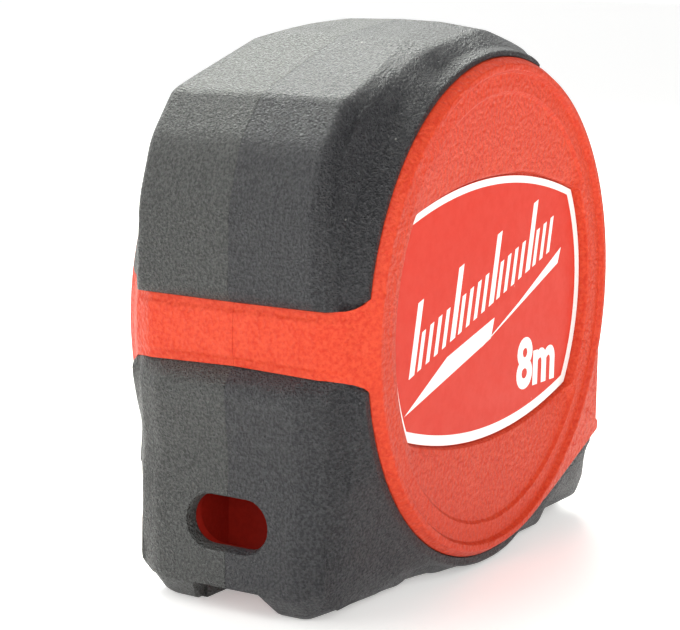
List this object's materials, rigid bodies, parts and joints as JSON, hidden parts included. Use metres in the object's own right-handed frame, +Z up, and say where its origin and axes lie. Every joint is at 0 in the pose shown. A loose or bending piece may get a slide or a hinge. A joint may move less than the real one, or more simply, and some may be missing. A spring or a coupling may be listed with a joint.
{
  "type": "tape measure",
  "caption": "Pocket tape measure with a rubber-armoured case, sprung reel, sliding blade, floating end hook, thumb lock and belt clip.",
  "frame": {"origin": "middle of the box's bottom, on the surface that the case stands on", "axes": "+X out of the mouth, along the blade; the labelled side faces -Y and the belt clip +Y; +Z up"},
  "size_m": [0.0866, 0.0459, 0.0811],
  "materials": {
    "red_case": "moulded, fine spark texture",
    "rubber": "soft, leather grain",
    "label": "satin print",
    "reel_plastic": "moulded",
    "lock_plastic": "moulded",
    "spring_steel": "blued strip",
    "blade_paint": "yellow coating with printed scale",
    "bright_steel": "zinc plated"
  },
  "bodies": {
    "case": {"right_case_shell": "red_case", "left_case_shell": "red_case", "right_upper_bumper": "rubber", "left_upper_bumper": "rubber", "right_lower_bumper": "rubber", "left_lower_bumper": "rubber", "label_plate": "label", "center_post": "reel_plastic", "belt_clip": "bright_steel", "clip_screw": "bright_steel", "case_screw_1": "bright_steel", "case_screw_2": "bright_steel", "case_screw_3": "bright_steel", "case_screw_4": "bright_steel"},
    "reel": {"reel_drum": "reel_plastic", "reel_cover": "reel_plastic", "blade_coil": "blade_paint", "mainspring": "spring_steel"},
    "blade": {"blade_tongue": "blade_paint", "hook_rivet_1": "bright_steel", "hook_rivet_2": "bright_steel", "hook_rivet_3": "bright_steel"},
    "hook": {"end_hook": "bright_steel"},
    "lock": {"lock_slide": "lock_plastic", "lock_pad": "rubber"}
  },
  "joints": [
    {"name": "reel_spin", "type": "hinge", "parent": "case", "child": "reel", "pos_m": [-0.0002, -0.0026, 0.0393], "axis": [0, -1, 0], "range_deg": [0, 57.6]},
    {"name": "blade_slide", "type": "slide", "parent": "case", "child": "blade", "axis": [1, 0, 0], "range_m": [0, 0.0304]},
    {"name": "hook_float", "type": "slide", "parent": "blade", "child": "hook", "axis": [1, 0, 0], "range_m": [0, 0.001]},
    {"name": "lock_slide", "type": "slide", "parent": "case", "child": "lock", "axis": [0, 0, -1], "range_m": [0, 0.0045]}
  ],
  "couplings": [
    {"joint": "blade_slide", "follows": "reel_spin", "m_per_rad": 0.0301}
  ]
}
